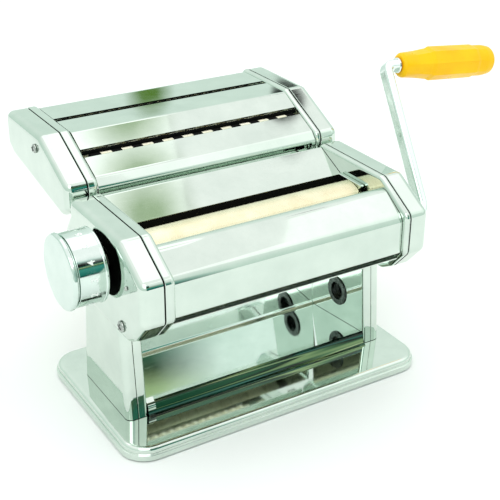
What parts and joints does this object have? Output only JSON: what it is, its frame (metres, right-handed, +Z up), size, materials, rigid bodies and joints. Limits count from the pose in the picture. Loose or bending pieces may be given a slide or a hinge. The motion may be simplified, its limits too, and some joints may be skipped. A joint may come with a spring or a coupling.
{
  "type": "pasta roller machine",
  "caption": "Hand-cranked machine that rolls dough between two rollers at a set gap, with a lift-off cutter that slices the sheet into wide or narrow noodles.",
  "frame": {"origin": "centre of the base's footprint, on the surface that the rubber feet stand on", "axes": "+X along the rollers towards the crank, +Y towards the cutter at the rear, +Z up"},
  "size_m": [0.3385, 0.1927, 0.1861],
  "materials": {
    "base_plate": "mirror polished",
    "foot_front_left": "matt",
    "foot_front_right": "matt",
    "foot_rear_left": "matt",
    "foot_rear_right": "matt",
    "left_leg_outer": "mirror polished",
    "left_leg_inner": "mirror polished",
    "right_leg_outer": "mirror polished",
    "right_leg_inner": "mirror polished",
    "clamp_bush": "zinc plated",
    "tray": "mirror polished",
    "left_side_plate": "mirror polished",
    "right_side_plate": "mirror polished",
    "left_end_cover": "mirror polished",
    "right_end_cover": "mirror polished",
    "left_cover_screw_1": "zinc plated",
    "left_cover_screw_2": "zinc plated",
    "right_cover_screw_1": "zinc plated",
    "front_cover": "mirror polished",
    "hopper_plate": "mirror polished",
    "back_cover": "mirror polished",
    "tie_rod_front": "zinc plated",
    "tie_rod_rear": "zinc plated",
    "front_scraper": "satin ground",
    "rear_scraper": "satin ground",
    "left_dough_guide": "mirror polished",
    "right_dough_guide": "mirror polished",
    "front_roller": "satin ground",
    "rear_roller": "satin ground",
    "front_roller_gear": "plain cut steel",
    "rear_roller_gear": "plain cut steel",
    "crank_gear": "plain cut steel",
    "front_roller_drive_gear": "plain cut steel",
    "drive_shaft": "zinc plated",
    "left_roller_bush": "matt",
    "right_roller_bush": "matt",
    "left_bearing_block": "zinc plated",
    "right_bearing_block": "zinc plated",
    "gap_yoke": "zinc plated",
    "knob_shaft": "zinc plated",
    "knob_bush": "matt",
    "gauge_knob": "mirror polished",
    "knob_cap": "mirror polished",
    "knob_spring": "zinc plated",
    "index_mark": "zinc plated",
    "crank_arm": "mirror polished",
    "crank_grip": "semi gloss",
    "cutter_left_plate": "mirror polished",
    "cutter_right_plate": "mirror polished",
    "cutter_left_cover": "mirror polished",
    "cutter_right_cover": "mirror polished",
    "cutter_front_guard": "mirror polished",
    "cutter_middle_guard": "mirror polished",
    "cutter_rear_guard": "mirror polished",
    "wide_cutter_front": "satin ground",
    "wide_cutter_rear": "satin ground",
    "narrow_cutter_front": "satin ground",
    "narrow_cutter_rear": "satin ground",
    "left_cutter_rail": "zinc plated",
    "right_cutter_rail": "zinc plated"
  },
  "bodies": {
    "machine": {"base_plate": "base_plate", "foot_front_left": "foot_front_left", "foot_front_right": "foot_front_right", "foot_rear_left": "foot_rear_left", "foot_rear_right": "foot_rear_right", "left_leg_outer": "left_leg_outer", "left_leg_inner": "left_leg_inner", "right_leg_outer": "right_leg_outer", "right_leg_inner": "right_leg_inner", "clamp_bush": "clamp_bush", "tray": "tray", "left_side_plate": "left_side_plate", "right_side_plate": "right_side_plate", "left_end_cover": "left_end_cover", "right_end_cover": "right_end_cover", "left_cover_screw_1": "left_cover_screw_1", "left_cover_screw_2": "left_cover_screw_2", "right_cover_screw_1": "right_cover_screw_1", "front_cover": "front_cover", "hopper_plate": "hopper_plate", "back_cover": "back_cover", "tie_rod_front": "tie_rod_front", "tie_rod_rear": "tie_rod_rear", "front_scraper": "front_scraper", "rear_scraper": "rear_scraper", "left_dough_guide": "left_dough_guide", "right_dough_guide": "right_dough_guide", "left_roller_bush": "left_roller_bush", "right_roller_bush": "right_roller_bush", "knob_bush": "knob_bush", "index_mark": "index_mark", "left_cutter_rail": "left_cutter_rail", "right_cutter_rail": "right_cutter_rail"},
    "drive": {"drive_shaft": "drive_shaft", "crank_gear": "crank_gear"},
    "crank": {"crank_arm": "crank_arm"},
    "grip": {"crank_grip": "crank_grip"},
    "front_roller_body": {"front_roller": "front_roller", "front_roller_gear": "front_roller_gear", "front_roller_drive_gear": "front_roller_drive_gear"},
    "carriage": {"left_bearing_block": "left_bearing_block", "right_bearing_block": "right_bearing_block", "gap_yoke": "gap_yoke"},
    "rear_roller_body": {"rear_roller": "rear_roller", "rear_roller_gear": "rear_roller_gear"},
    "knob_core": {"knob_shaft": "knob_shaft", "knob_spring": "knob_spring"},
    "knob": {"gauge_knob": "gauge_knob", "knob_cap": "knob_cap"},
    "cutter": {"cutter_left_plate": "cutter_left_plate", "cutter_right_plate": "cutter_right_plate", "cutter_left_cover": "cutter_left_cover", "cutter_right_cover": "cutter_right_cover", "cutter_front_guard": "cutter_front_guard", "cutter_middle_guard": "cutter_middle_guard", "cutter_rear_guard": "cutter_rear_guard"},
    "wide_front": {"wide_cutter_front": "wide_cutter_front"},
    "wide_rear": {"wide_cutter_rear": "wide_cutter_rear"},
    "narrow_front": {"narrow_cutter_front": "narrow_cutter_front"},
    "narrow_rear": {"narrow_cutter_rear": "narrow_cutter_rear"}
  },
  "joints": [
    {"name": "drive_spin", "type": "hinge", "parent": "machine", "child": "drive", "pos_m": [0.09, -0.037, 0.097], "axis": [1, 0, 0], "continuous": true},
    {"name": "crank_pull", "type": "slide", "parent": "drive", "child": "crank", "axis": [1, 0, 0], "range_m": [0, 0.02]},
    {"name": "grip_spin", "type": "hinge", "parent": "crank", "child": "grip", "pos_m": [0.12848, 0.02476, 0.17749], "axis": [0.9947, -0.0626, -0.0816], "continuous": true},
    {"name": "front_roller_spin", "type": "hinge", "parent": "machine", "child": "front_roller_body", "pos_m": [0, -0.0143, 0.1064], "axis": [1, 0, 0], "continuous": true},
    {"name": "gap_slide", "type": "slide", "parent": "machine", "child": "carriage", "axis": [0, 1, 0], "range_m": [-0.00125, 0.001]},
    {"name": "rear_roller_spin", "type": "hinge", "parent": "carriage", "child": "rear_roller_body", "pos_m": [0, 0.0165, 0.1064], "axis": [1, 0, 0], "continuous": true},
    {"name": "knob_turn", "type": "hinge", "parent": "machine", "child": "knob_core", "pos_m": [-0.1, -0.014, 0.109], "axis": [1, 0, 0], "range_deg": [-80, 100]},
    {"name": "knob_pull", "type": "slide", "parent": "knob_core", "child": "knob", "axis": [-1, 0, 0], "range_m": [0, 0.004], "stiffness_N_per_m": 600},
    {"name": "cutter_lift", "type": "slide", "parent": "machine", "child": "cutter", "axis": [0, 0, 1], "range_m": [0, 0.04]},
    {"name": "wide_front_spin", "type": "hinge", "parent": "cutter", "child": "wide_front", "pos_m": [0, 0.05044, 0.13246], "axis": [1, 0, 0], "continuous": true},
    {"name": "wide_rear_spin", "type": "hinge", "parent": "cutter", "child": "wide_rear", "pos_m": [0, 0.06641, 0.14032], "axis": [1, 0, 0], "continuous": true},
    {"name": "narrow_rear_spin", "type": "hinge", "parent": "cutter", "child": "narrow_rear", "pos_m": [0, 0.1026, 0.1448], "axis": [1, 0, 0], "continuous": true},
    {"name": "narrow_front_spin", "type": "hinge", "parent": "cutter", "child": "narrow_front", "pos_m": [0, 0.0864, 0.1448], "axis": [1, 0, 0], "continuous": true}
  ],
  "couplings": [
    {"joint": "front_roller_spin", "follows": "drive_spin", "ratio": -0.71429},
    {"joint": "rear_roller_spin", "follows": "drive_spin", "ratio": 0.71429},
    {"joint": "knob_turn", "follows": "gap_slide", "rad_per_m": -1396},
    {"joint": "wide_rear_spin", "follows": "wide_front_spin", "ratio": -1},
    {"joint": "narrow_front_spin", "follows": "narrow_rear_spin", "ratio": -1}
  ]
}
